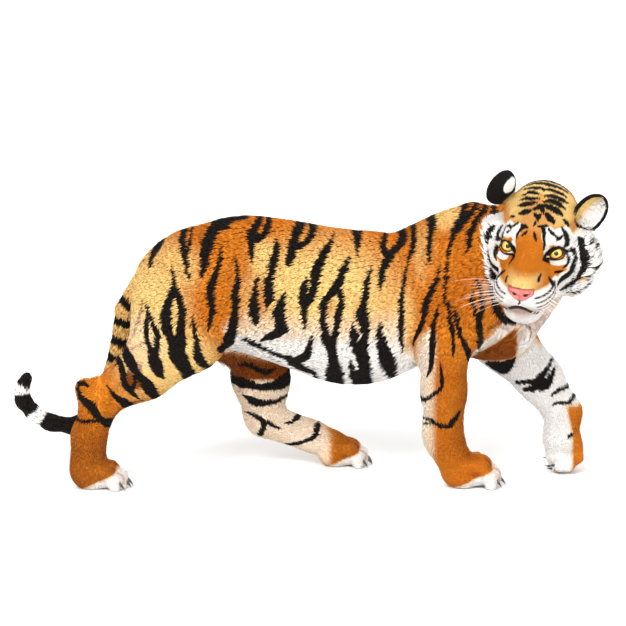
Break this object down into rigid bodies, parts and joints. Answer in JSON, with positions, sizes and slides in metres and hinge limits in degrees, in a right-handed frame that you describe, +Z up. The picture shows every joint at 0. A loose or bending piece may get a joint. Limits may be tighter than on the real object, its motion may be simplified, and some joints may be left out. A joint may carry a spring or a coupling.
{
  "type": "tiger life-size model",
  "caption": "Life-size still model of a walking tiger with its head turned to its right, its tail curled up at the tip, striped orange coat and pale belly.",
  "frame": {"origin": "under the middle of the whole animal, on the floor", "axes": "+X the way the body walks, +Y its left side, +Z up"},
  "size_m": [1.9932, 0.6212, 1.0777],
  "materials": {
    "coat": "short orange fur with black stripes and a pale belly",
    "pale_coat": "short cream fur with black bars",
    "dark_coat": "black fur, with a white spot behind each ear and pale rings on the tail",
    "nose": "bare pink skin, slightly moist",
    "eye": "wet golden iris with a round black pupil",
    "claw": "dark polished horn"
  },
  "bodies": {
    "root": {"head": "coat", "rump": "coat", "belly": "coat", "chest": "coat", "neck": "coat", "shoulder_right": "coat", "shoulder_left": "coat", "foreleg_right": "coat", "foreleg_left": "pale_coat", "forepaw_right": "coat", "forepaw_left": "coat", "thigh_right": "coat", "thigh_left": "coat", "shank_right": "coat", "shank_left": "pale_coat", "hindpaw_right": "coat", "hindpaw_left": "coat", "tail_root": "coat", "tail_tip": "dark_coat", "ear_left": "dark_coat", "ear_right": "dark_coat", "nose_pad": "nose", "eye_left": "eye", "eye_right": "eye", "claw_fore_right_1": "claw", "claw_fore_right_2": "claw", "claw_fore_right_3": "claw", "claw_fore_right_4": "claw", "claw_fore_left_1": "claw", "claw_fore_left_2": "claw", "claw_fore_left_3": "claw", "claw_fore_left_4": "claw", "claw_hind_right_1": "claw", "claw_hind_right_2": "claw", "claw_hind_right_3": "claw", "claw_hind_right_4": "claw", "claw_hind_left_1": "claw", "claw_hind_left_2": "claw", "claw_hind_left_3": "claw", "claw_hind_left_4": "claw"}
  },
  "joints": []
}
